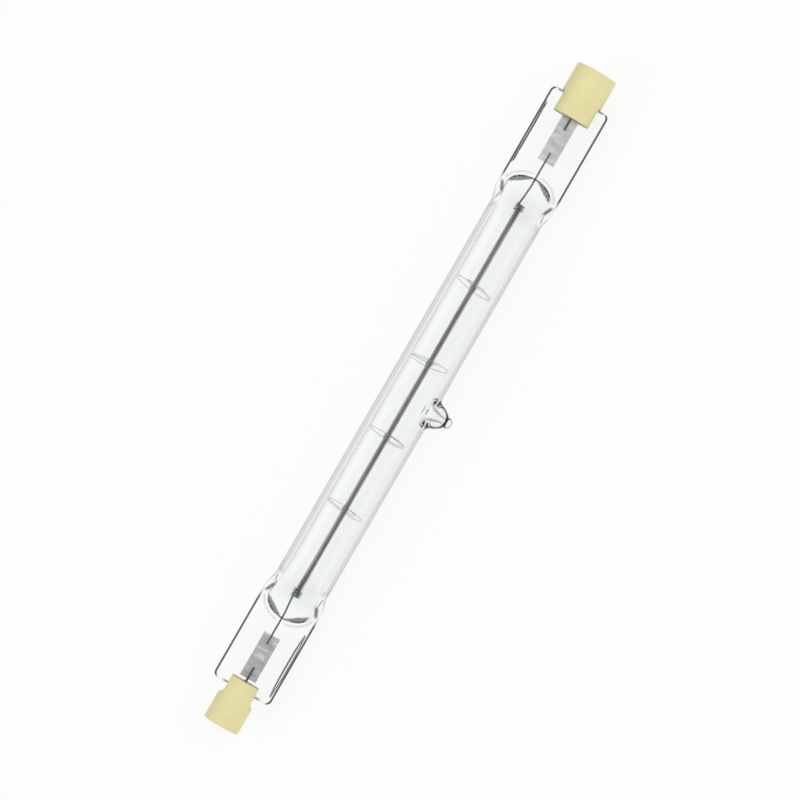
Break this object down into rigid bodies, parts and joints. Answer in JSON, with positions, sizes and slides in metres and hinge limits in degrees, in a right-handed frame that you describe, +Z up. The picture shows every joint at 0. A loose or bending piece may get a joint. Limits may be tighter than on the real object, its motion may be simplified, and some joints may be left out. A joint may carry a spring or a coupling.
{
  "type": "linear halogen lamp",
  "caption": "Double-ended linear halogen lamp: clear quartz tube with flat pinch seals, coiled filament on wire supports, side exhaust tip and recessed contacts in ceramic caps.",
  "frame": {"origin": "middle of the lamp's length, on the surface that it lies on, centred across its width", "axes": "+X along the lamp's axis, from its left end to its right end, +Z up, with the exhaust tip low on the -Y side"},
  "size_m": [0.1176, 0.0119, 0.009],
  "materials": {
    "quartz": "clear fused quartz, polished by the flame",
    "tungsten": "dull dark grey drawn tungsten wire",
    "molybdenum": "satin grey molybdenum",
    "ceramic": "smooth pale yellow steatite, slightly satin",
    "nickel": "satin nickel",
    "cement": "matte pale lamp cement"
  },
  "bodies": {
    "root": {"quartz_envelope": "quartz", "filament_coil": "tungsten", "filament_clamp_left": "tungsten", "filament_clamp_right": "tungsten", "filament_support_1": "tungsten", "filament_support_2": "tungsten", "filament_support_3": "tungsten", "filament_support_4": "tungsten", "inner_lead_left": "molybdenum", "inner_lead_right": "molybdenum", "foil_left": "molybdenum", "foil_right": "molybdenum", "outer_lead_left": "molybdenum", "outer_lead_right": "molybdenum", "ceramic_cap_left": "ceramic", "ceramic_cap_right": "ceramic", "contact_left": "nickel", "contact_right": "nickel", "cap_cement_left": "cement", "cap_cement_right": "cement"}
  },
  "joints": []
}
